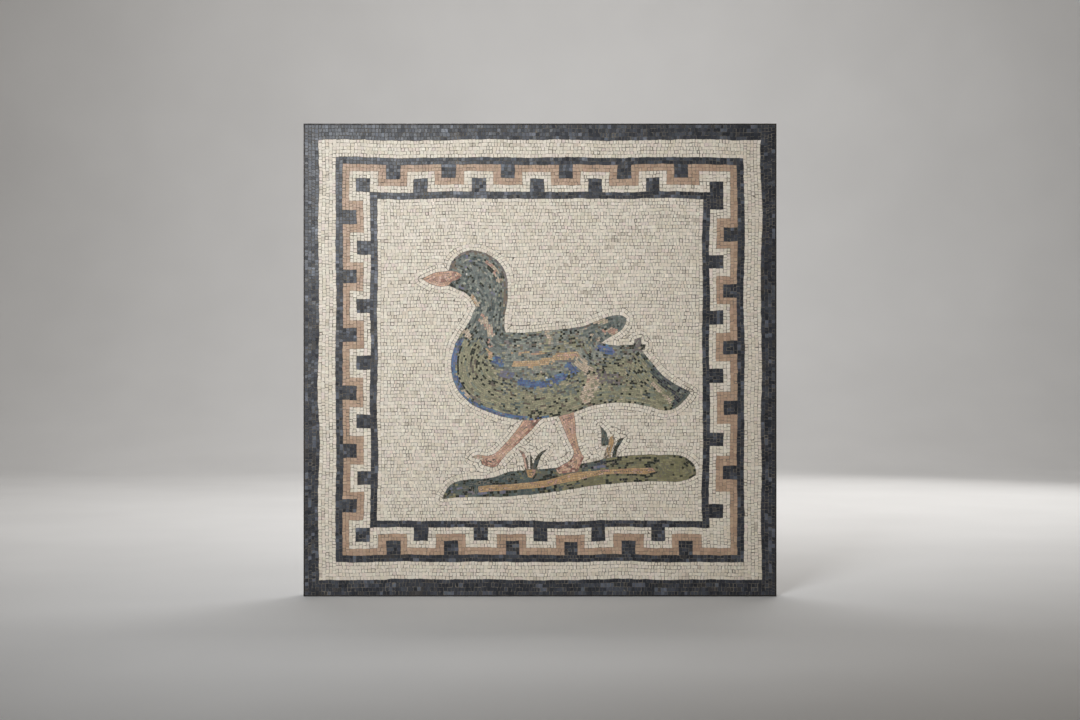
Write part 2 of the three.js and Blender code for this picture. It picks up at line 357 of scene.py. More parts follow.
def sharp_places(points, lengths):
    """Distances along a closed loop at which it turns sharply within a short window."""
    total = lengths.sum()
    spots = np.arange(0, total, SHARP_WINDOW / 3)
    before, here, after = (along_loop(points, lengths, spots + k * SHARP_WINDOW) for k in (-1, 0, 1))
    u, w = here - before, after - here
    turn = np.abs(np.arctan2(u[:, 0] * w[:, 1] - u[:, 1] * w[:, 0], (u * w).sum(1)))
    chosen = []
    for k in np.argsort(-turn):
        if turn[k] < SHARP_TURN:
            break
        gaps = [abs(spots[k] - other) for other in chosen]
        if all(min(gap, total - gap) > 2 * SHARP_WINDOW for gap in gaps):
            chosen.append(spots[k])
    return sorted(chosen)


RIDGE_STEPS = 16  # places tried on the way to a ridge
FILLER_SIDES = 5
LEAST_FILLER, LEAST_WEDGE = 0.2, 0.15  # breadths of such stones, in row widths
LEAST_TOP = 0.12  # a stone whose far side is shorter than this share of its length becomes a triangle
SHORTEST_ROW = 1.8  # in stone lengths: a shorter loop goes round one filler
LEAST_LOOP = 6  # a loop is left bare if it is shorter than this many times what the last row took
RIDGE_REACH = 1.25  # how far a row looks for a ridge, in row widths
LEAST_STEEPNESS = 0.55  # the field is flatter at a ridge, and stones there would come out too deep
SPLINTER_PART = 5  # splinters are laid along a line this part of a row in from the edge
SPLINTER_ROOM = 0.56  # in row widths: where the ridge is further from the edge, a row fits
SPLINTER_LOOP = 8  # the fewest points of a loop that has splinters
SHARED_RIDGE = 1.12  # in row widths from a row's middle: a ridge no further off is reached by that row


def to_ridge(field, points, ways, furthest):
    """How far it is from each point to the ridge where rows from two sides meet, `furthest` at most."""
    steps = np.linspace(0, 1, RIDGE_STEPS) * furthest
    depth = field.sample(points[:, None] + ways[:, None] * steps[:, None])
    return steps[depth.argmax(1)]


def filler(field, points, width):
    """One stone that fills what a loop too short for a row goes round."""
    spots = points[np.linspace(0, len(points), FILLER_SIDES + 1)[:-1].astype(int)]
    corners = convex(spots - field.slope(spots)[0] * (width / 2))
    return [corners] if breadth(corners) > LEAST_FILLER * width else []


def spaced_spots(points, pitch):
    """Spots along a closed loop, one for each joint between stones, with one at every sharp place."""
    lengths = side_lengths(points)
    total = lengths.sum()
    fixed = sharp_places(points, lengths) or [rng.uniform(0, total)]
    ends = fixed + [fixed[0] + total]
    cuts = [uneven_cuts(a, b, pitch)[:-1] for a, b in zip(ends, ends[1:], strict=False)]
    return along_loop(points, lengths, np.concatenate(cuts))


def contour_row(field, points, width, pitch, most, taken):
    """Stones along one loop of a distance field, as a list of outlines.

    They reach the ridge where it is no more than `most` away, and are left out where it is
    within `taken`, because the row before has reached it there."""
    length = side_lengths(points).sum()
    if length < SHORTEST_ROW * pitch:
        return filler(field, points, width) if length > LEAST_LOOP * taken else []
    spots = spaced_spots(points, pitch)
    ways, steepness = field.slope(spots)
    ridge = to_ridge(field, spots, ways, RIDGE_REACH * width)
    inward = np.where(ridge > most, width / 2, ridge)[:, None] * ways
    outward = ways * (width / 2 / steepness.clip(LEAST_STEEPNESS, 1))
    wanted = np.maximum(ridge, np.roll(ridge, -1)) > taken
    return wedges(spots - outward, spots + inward, spots, width, wanted)


def splinters(field, width, pitch):
    """Thin stones along the edge, where a neck or a tip has no room for a whole row."""
    laid = []
    level = width / SPLINTER_PART
    for loop in field.contours(level):
        if len(loop) < SPLINTER_LOOP:
            continue
        spots = spaced_spots(loop, pitch)
        ways = field.slope(spots)[0]
        ridge = to_ridge(field, spots, ways, width)
        wanted = np.maximum(ridge, np.roll(ridge, -1)) + level < SPLINTER_ROOM * width
        laid += wedges(spots - ways * level, spots + ways * ridge[:, None], spots, width, wanted)
    return laid


def wedges(near, far, middle, width, wanted):
    """Stones between two sides of a row. One whose far corners all but meet becomes a triangle."""
    stones = []
    for k in np.nonzero(wanted)[0]:
        after = (k + 1) % len(near)
        along = middle[after] - middle[k]
        pointed = ((far[after] - far[k]) * along).sum() < LEAST_TOP * (along**2).sum()
        tip = [(far[k] + far[after]) / 2] if pointed else [far[after], far[k]]
        corners = convex(np.array([near[k], near[after], *tip]))
        if breadth(corners) > LEAST_WEDGE * width:
            stones.append(corners)
    return stones


def fill_with_rows(field, width, pitch, rows=None):
    """Stones in rows that follow an outline, from its edge inwards, as many as fit or as many as given."""
    deepest = field.values.max()
    laid = splinters(field, width, pitch)
    for row in range(rows or math.ceil(deepest / width)):
        level = (row + 0.5) * width
        most = width / 2 if row + 1 == rows else SHARED_RIDGE * width
        taken = (SHARED_RIDGE - 1) * width if row else -1
        if level < deepest:
            for loop in field.contours(level):
                laid += contour_row(field, loop, width, pitch, most, taken)
    return laid_clear(field, laid)


# ---- chips in the gaps

CHIP_SIDES = 7
CHIP_STEPS = 14  # places tried on the way out from a chip's middle
LEAST_CHIP = 0.7  # its breadth, as a multiple of the least radius of its gap
ROOM_STEPS = 5  # of the grid, to which gaps are measured
ON_SIDE = 0.01  # a spot hardly outside a stone's side counts as under the stone
OVERLAP = 0.18  # the share of a stone that may lie over those laid before it; its joint takes that up


def under(field, corners):
    """A window of the grid round one stone, and which of the window's spots lie under the stone."""
    first = np.floor((corners.min(0) - field.low) / field.step).astype(int).clip(0)
    last = np.ceil((corners.max(0) - field.low) / field.step).astype(int).clip(0) + 1
    window = (slice(first[1], last[1]), slice(first[0], last[0]))
    rows, columns = field.values[window].shape
    x = field.low[0] + field.step * (first[0] + np.arange(columns))
    z = field.low[1] + field.step * (first[1] + np.arange(rows))[:, None]
    inside = np.full((rows, columns), True)
    for a, b in zip(corners, np.roll(corners, -1, 0), strict=True):
        inside &= (b[0] - a[0]) * (z - a[1]) - (b[1] - a[1]) * (x - a[0]) > -ON_SIDE
    return window, inside


def cover(bare, field, corners):
    """Takes the spots under one stone off a map of the bare ones."""
    window, inside = under(field, corners)
    bare[window] &= ~inside


def laid_clear(field, stones):
    """The stones, less each that would lie over ones laid before it."""
    bare = np.full(field.values.shape, True)
    kept = []
    for corners in stones:
        window, inside = under(field, corners)
        if (inside & ~bare[window]).sum() <= OVERLAP * inside.sum():
            kept.append(corners)
            bare[window] &= ~inside
    return kept


def room_round(bare):
    """How many steps of the grid each bare spot is from the nearest stone, or one past ROOM_STEPS."""
    room = bare.astype(int)
    left = bare.copy()
    for _ in range(ROOM_STEPS):
        kept = left.copy()
        for axis in (0, 1):
            kept &= np.roll(left, 1, axis) & np.roll(left, -1, axis)
        left = kept
        room += left
    return room


def chip(bare, field, centre, longest):
    """A small stone round a bare spot, cut to reach the stones about it."""
    turns = rng.uniform(0, math.tau) + math.tau * np.arange(CHIP_SIDES) / CHIP_SIDES
    ways = np.stack([np.cos(turns), np.sin(turns)], 1)
    steps = np.linspace(0, longest, CHIP_STEPS)
    places = centre + ways[:, None] * steps[:, None]
    cells = np.rint((places - field.low) / field.step).astype(int)
    free = bare[cells[..., 1].clip(0, field.nz - 1), cells[..., 0].clip(0, field.nx - 1)]
    free[:, -1] = False
    return convex(centre + ways * steps[free.argmin(1)][:, None])


def chips(field, stones, least, longest, half_area=HALF_PANEL):
    """Small stones for the gaps between rows that have room for a circle of radius `least`.

    Their middles stay within a square of half side `half_area`."""
    across = np.abs(field.low[0] + field.step * np.arange(field.nx))
    upright = np.abs(field.low[1] + field.step * np.arange(field.nz))[:, None]
    bare = (field.values > 0) & (np.maximum(across, upright) < half_area)
    for corners in stones:
        cover(bare, field, corners)
    room = room_round(bare).ravel() * field.step
    laid = []
    for spot in np.argsort(-room):
        if room[spot] < least:
            break
        row, column = divmod(spot, field.nx)
        if bare[row, column]:
            corners = chip(bare, field, field.low + field.step * np.array([column, row]), longest)
            bare[row, column] = False
            if len(corners) > 2 and breadth(corners) > LEAST_CHIP * least:
                laid.append(corners)
                cover(bare, field, corners)
    return laid


# ---- the hand's wobble

# The rows stray in waves, longest first: how far and over what length, in modules.
WAVE_SIZES = (0.11, 0.09, 0.07, 0.06, 0.045, 0.035, 0.03)
WAVE_LENGTHS = (46, 31, 19, 13, 7.5, 4.6, 3.1)
wave_turns, wave_headings = rng.uniform(0, math.tau, (2, 2, len(WAVE_SIZES)))
FRET_DROP = 0.5  # modules that the upper side of the fret was set low, and its neighbours less
FRET_LIFT = 0.7  # modules that the lower side was set high
FRET_MIDDLE = 0.82 * HALF_PANEL
FRET_SPREAD = 15  # modules over which the drop and the lift die away
STILL_EDGE = 3  # modules from the edge bar in which the wobble dies away


def wobbled(points):
    """Moves points as a row strays when it is laid by eye, but not at the edge bar."""
    x, z = points[..., 0], points[..., 1]
    moved = points.copy()
    for axis in (0, 1):
        waves = zip(WAVE_SIZES, WAVE_LENGTHS, wave_headings[axis], wave_turns[axis], strict=True)
        for size, length, heading, turn in waves:
            phase = (x * math.cos(heading) + z * math.sin(heading)) / length * math.tau
            moved[..., axis] += size * np.sin(phase + turn)
    upper = np.exp(-(((z - FRET_MIDDLE) / FRET_SPREAD) ** 2))
    lower = np.exp(-(((z + FRET_MIDDLE) / FRET_SPREAD) ** 2))
    moved[..., 1] += FRET_LIFT * lower - FRET_DROP * upper
    outermost = np.maximum(np.abs(x), np.abs(z))
    loose = ((HALF_PANEL - outermost) / STILL_EDGE).clip(0, 1)[..., None]
    return points + (moved - points) * loose


# ---- colours of the stones


def linear(*rgb):
    """A colour given as 0 to 255 display values, in Blender's linear light."""
    c = np.array(rgb, float) / 255
    return np.where(c <= 0.04045, c / 12.92, ((c + 0.055) / 1.055) ** 2.4)


# Each stone is a list of the tints it was cut from: weight, then red, green and blue.
STONES = {
    "slate": [(5, 55, 57, 63), (3, 43, 45, 51), (2, 69, 72, 79), (0.6, 63, 61, 61), (1, 91, 95, 104)],
    "cream": [(6, 222, 211, 194), (3, 226, 216, 200), (2, 217, 205, 186), (0.7, 220, 205, 192),
              (0.2, 198, 186, 169)],
    "terracotta": [(4, 178, 149, 125), (3, 185, 156, 132), (2, 169, 140, 117)],
    "blue_green": [(5, 116, 122, 117), (3, 130, 135, 127), (2.5, 97, 105, 102), (1.4, 75, 83, 81),
                   (1.2, 148, 149, 137)],
    "olive": [(5, 151, 147, 120), (3, 162, 157, 128), (2, 133, 131, 106), (1, 171, 160, 133),
              (0.8, 131, 137, 121)],
    "fleck": [(3, 46, 50, 38), (2, 36, 40, 34), (1, 62, 60, 44)],
    "blue": [(3, 91, 112, 149), (2, 102, 131, 156), (2, 77, 91, 128), (1, 115, 119, 154)],
    "violet": [(3, 118, 117, 134), (2, 106, 110, 130), (1, 128, 122, 130)],
    "orange": [(4, 194, 165, 128), (3, 184, 153, 116), (2, 203, 178, 144), (1, 192, 158, 134)],
    "salmon": [(4, 207, 170, 150), (3, 198, 158, 138), (2, 215, 184, 166), (1, 190, 152, 130)],
    "peach": [(4, 201, 164, 138), (3, 194, 157, 131), (2, 209, 175, 150)],
    "rose": [(3, 184, 146, 130), (2, 198, 164, 146), (1, 170, 134, 122)],
    "red_brown": [(3, 146, 105, 93), (2, 160, 118, 104), (1, 128, 93, 82)],
    "beige": [(3, 195, 177, 154), (2, 185, 168, 146), (1, 205, 187, 166)],
    "brown": [(3, 110, 98, 86), (2, 126, 110, 95), (1, 96, 88, 80)],
    "mauve": [(3, 122, 114, 112), (2, 134, 124, 120), (1, 104, 98, 99)],
    "ground_slate": [(4, 84, 94, 91), (3, 71, 81, 80), (2, 98, 107, 100), (1, 102, 103, 90)],
    "ground_olive": [(4, 132, 127, 94), (3, 119, 115, 87), (2, 142, 136, 104), (1, 113, 114, 92)],
    "tan": [(4, 187, 153, 111), (3, 178, 144, 103), (2, 196, 164, 124), (1, 182, 146, 116)],
    "grey_green": [(3, 152, 153, 140), (2, 138, 142, 133), (1, 164, 161, 147)],
    "white": [(1, 208, 205, 198)],
}
# How far the tesserae of one tint differ in lightness.
SHADE_SPREAD = {"cream": 0.04, "slate": 0.12, "terracotta": 0.04, "blue_green": 0.12, "olive": 0.1}
USUAL_SPREAD = 0.07
SHADE_LIMITS = (0.6, 1.5)
HUE_SPREAD = 0.012
RUN = 1.4  # how many neighbours in a row, on average, were cut from the same piece of stone


def cut_from(stone, count):
    """Colours for `count` tesserae of one stone, in the order in which they are laid."""
    tints = STONES[stone]
    weights = np.array([tint[0] for tint in tints])
    picked = rng.choice(len(tints), count, p=weights / weights.sum())
    new_piece = rng.random(count) < 1 / RUN
    picked = picked[np.maximum.accumulate(np.where(new_piece, np.arange(count), 0))]
    colours = np.array([linear(*tint[1:]) for tint in tints])[picked]
    shade = rng.normal(1, SHADE_SPREAD.get(stone, USUAL_SPREAD), (count, 1)).clip(*SHADE_LIMITS)
    return colours * shade * rng.normal(1, HUE_SPREAD, (count, 3))


DASH_SEEDS = 0.7  # of a dash's stones, the share that is picked first
DASH_PAIRS = 0.43  # the chance that a picked stone brings its neighbour along
RAGGEDNESS = 0.13  # of a stroke's edge, in modules


def far_from(points, *path):
    """Distance of each point from a path of straight stretches, or from a single spot."""
    path = np.array(path, float)
    if len(path) == 1:
        return np.sqrt(((points - path[0]) ** 2).sum(1))
    return distance_to_edges(points, np.stack([path[:-1], path[1:]], 1))


class Colouring:
    """The colours of an area's stones, set one after another, later ones over earlier ones."""

    def __init__(self, stones, field, stone):
        self.places = np.array([corners.mean(0) for corners in stones])
        self.x, self.z = self.places.T
        self.depth = field.sample(self.places)  # how far in from the area's outline
        self.everywhere = np.full(len(stones), True)
        self.colours = cut_from(stone, len(stones))

    def chance(self, share):
        """True for a share of the stones."""
        return rng.random(len(self.x)) < share

    def recolour(self, chosen, stone):
        chosen = np.nonzero(chosen)[0]
        self.colours[chosen] = cut_from(stone, len(chosen))

    def lay(self, where, stone, share=1.0):
        """Recolours a share of the stones for which `where` is true."""
        self.recolour(where & self.chance(share), stone)

    def dash(self, where, stone, share):
        """Recolours a share of the stones, some of them two together in a row."""
        seeds = where & self.chance(share * DASH_SEEDS)
        second = np.roll(seeds, 1) & self.chance(DASH_PAIRS)
        self.recolour(seeds | (where & second), stone)

    def stroke(self, path, width, stone, share):
        """A stroke of one stone along a path, `width` across, with a ragged edge."""
        ragged = width / 2 + rng.normal(0, RAGGEDNESS, len(self.x))
        self.lay(far_from(self.places, *path) < ragged, stone, share)

    def strokes(self, table):
        """Each row of the table has a path, then the width, stone and share of each stroke along it."""
        for path, *along_it in table:
            for width, stone, share in along_it:
                self.stroke(path, width, stone, share)


# ---- meshes

STONE_TAPER = 0.5 * MILLIMETRE
ARRIS = 0.45 * MILLIMETRE  # width of the worn edge round a stone's face
ARRIS_DROP = 0.35 * MILLIMETRE
ARRIS_SPREAD = (0.6, 1.3)  # the least and most worn, as multiples of the usual
JOINT_SPREAD = (-0.1, 0.45)  # mean and deviation of the logarithm of a joint's width over the usual
MOST_JOINT, MOST_ARRIS, MOST_TAPER = 0.4, 0.3, 0.25  # on a small stone, as shares of its breadth
LEAST_MITRE = 0.7  # keeps a sharp corner from moving in too far
FACE_RECESS = (0.04 * MILLIMETRE, 0.5 * MILLIMETRE)
FACE_TILT = 0.036  # slope of a face, in metres per metre
BACK_ON_MAP = 0.4  # where a stone's back lies on the flat map, as a share of its half joint
# Joints in metres and the jitter of corners in modules, for each kind of stonework
JOINT = {
    "cream": 0.72 * MILLIMETRE,
    "terracotta": 0.6 * MILLIMETRE,
    "slate": 0.55 * MILLIMETRE,
    "fine": 0.5 * MILLIMETRE,
}
JITTER = {"cream": 0.045, "terracotta": 0.045, "slate": 0.045, "fine": 0.03}
EDGE_GAP = 0.04  # modules between the outermost stones and the edge bar
GROUT_COLOUR = linear(118, 111, 101)
STAINED_ARRIS, STAINED_BACK = 0.12, 0.3  # how much of the grout's colour a stone's edges have taken


def shrunk(outlines, distance):
    """Convex outlines, an array of (stones, corners, 2), with each edge moved in by `distance`."""
    onward = np.roll(outlines, -1, 1) - outlines
    onward /= np.sqrt((onward**2).sum(2, keepdims=True)).clip(1e-9)
    inward = np.stack([-onward[..., 1], onward[..., 0]], 2)
    mitre = inward + np.roll(inward, 1, 1)
    reach = 2 / (mitre**2).sum(2, keepdims=True).clip(LEAST_MITRE)
    return outlines + mitre * reach * np.asarray(distance).reshape(-1, 1, 1)


def stone_rings(outlines, joint):
    """Each stone's three rings of corners, front to back, and where they lie on a flat map."""
    count = len(outlines)
    radius = breadth(outlines)
    half_joint = np.minimum(joint / 2 * rng.lognormal(*JOINT_SPREAD, count), MOST_JOINT * radius)
    arris = np.minimum(ARRIS * rng.uniform(*ARRIS_SPREAD, count), MOST_ARRIS * radius)
    edge = shrunk(outlines, half_joint)
    face = shrunk(edge, arris)
    back = shrunk(edge, np.minimum(STONE_TAPER, MOST_TAPER * radius))
    recess = rng.uniform(*FACE_RECESS, (count, 1))
    tilt = rng.normal(0, FACE_TILT, (count, 1, 2))
    offsets = face - face.mean(1, keepdims=True)
    face_y = FRONT + recess + (offsets * tilt).sum(2)
    face_y += (FRONT - face_y.min(1, keepdims=True)).clip(0)
    rings = ((face, face_y), (edge, face_y + ARRIS_DROP), (back, np.full(face_y.shape, STONE_BACK)))
    solid = [np.stack([ring[..., 0], y, ring[..., 1]], 2) for ring, y in rings]
    flat = [face, edge, shrunk(outlines, half_joint * BACK_ON_MAP)]
    return np.concatenate(solid, 1), np.concatenate(flat, 1)


def stone_faces(corner_count):
    """The faces of a stone whose rings have that many corners, as lists of corner numbers."""
    n = corner_count
    faces = [list(range(n))]
    for ring in (0, n):
        for k in range(n):
            after = (k + 1) % n
            faces.append([ring + after, ring + k, ring + n + k, ring + n + after])
    return faces + [list(range(3 * n - 1, 2 * n - 1, -1))]


def new_mesh(name, points, corners, starts):
    """A mesh from flat arrays: its points, the corners of all its faces, and where each face starts."""
    mesh = bpy.data.meshes.new(name)
    mesh.vertices.add(len(points))
    mesh.vertices.foreach_set("co", points.ravel())
    mesh.loops.add(len(corners))
    mesh.loops.foreach_set("vertex_index", corners)
    mesh.polygons.add(len(starts))
    mesh.polygons.foreach_set("loop_start", starts)
    mesh.update(calc_edges=True)
    mesh.validate()
    mesh.shade_flat()
    return mesh


def quad_mesh(name, points, faces):
    """A mesh of four-cornered faces."""
    return new_mesh(name, np.asarray(points, float), faces.ravel(), 4 * np.arange(len(faces)))


def new_object(name, data):
    """An object in the scene."""
    made = bpy.data.objects.new(name, data)
    bpy.context.scene.collection.objects.link(made)
    return made


def link(name, mesh, material, slot, *replaced):
    """Puts a mesh in the scene as a piece of the panel that stands for some nodes."""
    piece = new_object(name, mesh)
    mesh.materials.append(material)
    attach(piece, "root")
    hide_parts(*replaced)


def add_flat_map(mesh, places, corners):
    """A map for textures that lays the stones out flat, as they lie in the panel."""
    low, high = places.min(0), places.max(0)
    layer = mesh.uv_layers.new(name="OFBake")
    layer.data.foreach_set("uv", ((places - low) / (high - low))[corners].ravel())


def hand_set(outlines, jitter):
    """Outlines as the hand set them, in metres: off their lines, and their corners out of square."""
    outlines = wobbled(outlines)
    outlines += rng.normal(0, jitter, outlines.shape).clip(-2 * jitter, 2 * jitter)
    limit = HALF_PANEL - EDGE_GAP
    return outlines.clip(-limit, limit) * MODULE


def stained(colours, corner_count):
    """The colour of each point of some stones, with more of the grout's colour towards the back."""
    share = np.repeat([0, STAINED_ARRIS, STAINED_BACK], corner_count)[:, None]
    return (colours[:, None] * (1 - share) + GROUT_COLOUR * share).reshape(-1, 3)


def add_stones(name, stones, colours, finish, slot, replaced):
    """One piece of many tesserae. `stones` is a list of convex outlines, in modules."""
    points, flat_places, tints, corners, starts = [], [], [], [], []
    point_count = corner_total = 0
    sizes = np.array([len(outline) for outline in stones])
    for n in np.unique(sizes):
        chosen = np.nonzero(sizes == n)[0]
        outlines = hand_set(np.stack([stones[k] for k in chosen]), JITTER[finish])
        solid, flat = stone_rings(outlines, JOINT[finish])
        faces = stone_faces(n)
        pattern = np.concatenate(faces)
        firsts = np.concatenate([[0], np.cumsum([len(face) for face in faces])[:-1]])
        each = np.arange(len(chosen))[:, None]
        corners.append((point_count + 3 * n * each + pattern).ravel())
        starts.append((corner_total + len(pattern) * each + firsts).ravel())
        points.append(solid.reshape(-1, 3))
        flat_places.append(flat.reshape(-1, 2))
        tints.append(stained(colours[chosen], n))
        point_count += 3 * n * len(chosen)
        corner_total += len(pattern) * len(chosen)
    name += "_tesserae"
    points, corners = np.vstack(points), np.concatenate(corners)
    mesh = new_mesh(name, points, corners, np.concatenate(starts))
    tint = mesh.color_attributes.new("stone_colour", "FLOAT_COLOR", "POINT")
    tints = np.vstack(tints).clip(0, 1)
    tint.data.foreach_set("color", np.hstack([tints, np.ones((len(tints), 1))]).ravel())
    add_flat_map(mesh, np.vstack(flat_places), corners)
    link(name, mesh, materials[finish], slot, *replaced)


# ---- materials


class Nodes:
    """A material's node tree, with short ways to add nodes and links."""

    def __init__(self, name):
        self.material = bpy.data.materials.new(name)
        self.material.use_nodes = True
        self.tree = self.material.node_tree
        self.shader = self.tree.nodes["Principled BSDF"]

    def add(self, kind, **settings):
        """A node, with its inputs or settings of those names set."""
        node = self.tree.nodes.new(kind)
        for key, value in settings.items():
            if key in node.inputs:
                node.inputs[key].default_value = value
            else:
                setattr(node, key, value)
        return node

    def join(self, source, target):
        self.tree.links.new(source, target)

    def feed(self, key, source):
        """Joins a colour or a value to an input of the shader."""
        self.join(source, self.shader.inputs[key])

    def fix(self, key, number):
        """Sets an input of the shader that is the same all over the surface."""
        self.shader.inputs[key].default_value = number

    def noise(self, scale, detail=4.0, roughness=0.6):
        """Noise over the object's own places. `scale` is in cycles a metre."""
        where = self.add("ShaderNodeTexCoord")
        noise = self.add("ShaderNodeTexNoise", Scale=scale, Detail=detail, Roughness=roughness)
        self.join(where.outputs["Object"], noise.inputs["Vector"])
        return noise.outputs["Fac"]

    def spread(self, value, low, high):
        """Stretches the middle of a noise to run from low to high."""
        node = self.add("ShaderNodeMapRange")
        for end, middle, wanted in (("Min", 0.3, low), ("Max", 0.7, high)):
            node.inputs["From " + end].default_value = middle
            node.inputs["To " + end].default_value = wanted
        self.join(value, node.inputs["Value"])
        return node.outputs["Result"]

    def ramp(self, value, *stops):
        """A colour that goes from one to another with a value. Each stop is a value and a colour."""
        node = self.add("ShaderNodeValToRGB")
        for element, (position, *rgb) in zip(node.color_ramp.elements, stops, strict=True):
            element.position = position
            element.color = (*linear(*rgb), 1)
        self.join(value, node.inputs["Fac"])
        return node.outputs["Color"]

    def times(self, colour, value):
        """A colour made lighter or darker by a value."""
        scale = self.add("ShaderNodeVectorMath", operation="SCALE")
        self.join(colour, scale.inputs[0])
        self.join(value, scale.inputs["Scale"])
        return scale.outputs[0]

    def bump(self, height, strength, distance):
        """Relief too fine for the mesh."""
        node = self.add("ShaderNodeBump", Strength=strength, Distance=distance)
        self.join(height, node.inputs["Height"])
        self.feed("Normal", node.outputs["Normal"])


GRAIN = 0.6  # how strong the fine grain is, as a share of the veins
POLISH_RANGE = 0.12


def stone_material(name, veins, polish, relief, gloss):
    """Cut stone: each tessera's own colour, mottled and finely veined, with a honed but pitted face."""
    nodes = Nodes(name)
    own = nodes.add("ShaderNodeAttribute", attribute_name="stone_colour")
    mottled = nodes.times(own.outputs["Color"], nodes.spread(nodes.noise(160), 1 - veins, 1 + veins))
    grain = nodes.spread(nodes.noise(1300, 2), 1 - GRAIN * veins, 1 + GRAIN * veins)
    nodes.feed("Base Color", nodes.times(mottled, grain))
    nodes.feed("Roughness", nodes.spread(nodes.noise(420), polish, polish + POLISH_RANGE))
    nodes.fix("Specular IOR Level", gloss)
    nodes.bump(nodes.noise(900, 5, 0.65), relief, 0.3 * MILLIMETRE)
    return nodes.material


# Each stone's veins, polish, relief and gloss
FINISHES = {
    "slate": (0.2, 0.31, 0.1, 0.27),
    "cream": (0.05, 0.46, 0.2, 0.4),
    "terracotta": (0.08, 0.4, 0.2, 0.35),
    "fine": (0.12, 0.42, 0.2, 0.25),
}
materials = {stone: stone_material("stone_" + stone, *finish) for stone, finish in FINISHES.items()}


def mortar_material():
    """Lime mortar: warm grey, sandy, a little darker in patches."""
    nodes = Nodes("mortar_sandy")
    patches = nodes.ramp(nodes.noise(9, 9, 0.66), (0.32, 98, 92, 83), (0.68, 134, 126, 114))
    nodes.feed("Base Color", nodes.times(patches, nodes.spread(nodes.noise(2400, 2), 0.86, 1.1)))
    nodes.fix("Roughness", 0.92)
    nodes.bump(nodes.noise(1500, 6, 0.7), 0.6, 0.5 * MILLIMETRE)
    return nodes.material


def steel_material():
    """Blackened steel bar: near black, with a brown bloom and uneven polish."""
    nodes = Nodes("steel_blackened")
    nodes.feed("Base Color", nodes.ramp(nodes.noise(26, 8, 0.7), (0.35, 30, 30, 33), (0.75, 52, 46, 42)))
    nodes.feed("Roughness", nodes.spread(nodes.noise(90, 6), 0.36, 0.62))
    nodes.fix("Metallic", 0.55)
    nodes.bump(nodes.noise(420, 5), 0.25, 0.2 * MILLIMETRE)
    return nodes.material


# ---- the plain bands and the fret

BORDER_PITCH = 0.97  # length of a stone with its joint, in modules


def add_border(node, half_outer, half_inner, stone):
    """A plain band of one stone, laid in rows round the panel."""
    rows = band_rows(half_outer, half_inner)
    stones = np.vstack([straight_row(a, b, c, d, BORDER_PITCH, up) for a, b, c, d, up in rows])
    add_stones(node, stones, cut_from(stone, len(stones)), stone, stone, [node])


def fret_stones():
    """The stones of the fret and its two lines, row by row, sorted by the node that they lie in."""
    outlines = {node: front_outline(node) for node in FRET_STONES}
    laid = {node: [] for node in FRET_STONES}
    for start, end, low, high, upright in band_rows(HALF_FRET_LINE, HALF_FIELD):
        for node, edges in outlines.items():
            for first, last in stretches(edges, start, end, (low + high) / 2, upright):
                laid[node].append(straight_row(first, last, low, high, BORDER_PITCH, upright))
    return {node: np.vstack(rows) for node, rows in laid.items()}


def add_fret():
    """The fret as one piece of each stone."""
    laid = fret_stones()
    for stone in ("slate", "terracotta", "cream"):
        nodes = [node for node, of_stone in FRET_STONES.items() if of_stone == stone]
        stones = np.vstack([laid[node] for node in nodes])
        add_stones("fret_" + stone, stones, cut_from(stone, len(stones)), stone, stone, nodes)


# ---- the field

FIELD_PITCH = 0.93
FIELD_GRID = 0.14
LEAST_BREADTH = 0.16  # of a trimmed stone of the field, in modules
FIELD_CHIPS = (0.24, 0.6)  # radius of the least gap and reach of a chip, in modules


def add_field():
    """The cream ground: a row along the fret, level rows, and rows that follow the figures."""
    edges = front_outline("cream_field")
    outer = HALF_FIELD - 1
    of_figures = np.abs(edges).max((1, 2)) < outer
    field = DistanceField(edges[of_figures], FIELD_GRID, CONTOUR_ROWS + 1, around=True)
    stones = []
    for corners in fill_with_rows(field, 1.0, FIELD_PITCH, CONTOUR_ROWS):
        stones += trimmed(corners[None], (outer - np.abs(corners).max(1))[None], LEAST_BREADTH)
    rows = range(-outer, outer)
    level = np.vstack([straight_row(-outer, outer, row, row + 1, FIELD_PITCH, False) for row in rows])
    stones += trimmed(level, field.sample(level) - CONTOUR_ROWS, LEAST_BREADTH)
    for a, b, c, d, up in band_rows(HALF_FIELD, outer):
        stones += list(straight_row(a, b, c, d, FIELD_PITCH, up))
    stones += chips(field, stones, *FIELD_CHIPS, outer)
    add_stones("cream_field", stones, cut_from("cream", len(stones)), "cream", "cream", ["cream_field"])


# ---- the figures

FIGURE_GRID = 0.1
FIGURE_CHIPS = (0.35, 0.7)  # radius of the least gap and reach of a chip, in row widths


def add_figure(node, width, pitch, stone, paint, slot):
    """A figure's area, filled with fine stones in rows that follow its outline."""
    field = DistanceField(front_outline(node), FIGURE_GRID, 3 * FIGURE_GRID)
    stones = fill_with_rows(field, width, pitch)
    least, longest = FIGURE_CHIPS
    stones += chips(field, stones, least * width, longest * width)
    figure = Colouring(stones, field, stone)
    paint(figure)
    add_stones(node, stones, figure.colours, "fine", slot, [node])


def mixed(*shares):
    """A painter that mixes shares of other stones in."""

    def paint(figure):
        for stone, share in shares:
            figure.lay(figure.everywhere, stone, share)

    return paint


# The line on the duck above which it is blue-green, and under which it is olive.
SEAM_X = (-26, -17, -12, -4, 6, 14, 20, 31, 36)
SEAM_Z = (8, 5, -3.5, -4.5, -3.2, -1.5, 0.5, 2, -3)
EYE = (-21.4, 24.6)
NECK_FLECKS = ((-17.5, 7), (-16, 2.5), (-15.2, -4), (-11, -8))

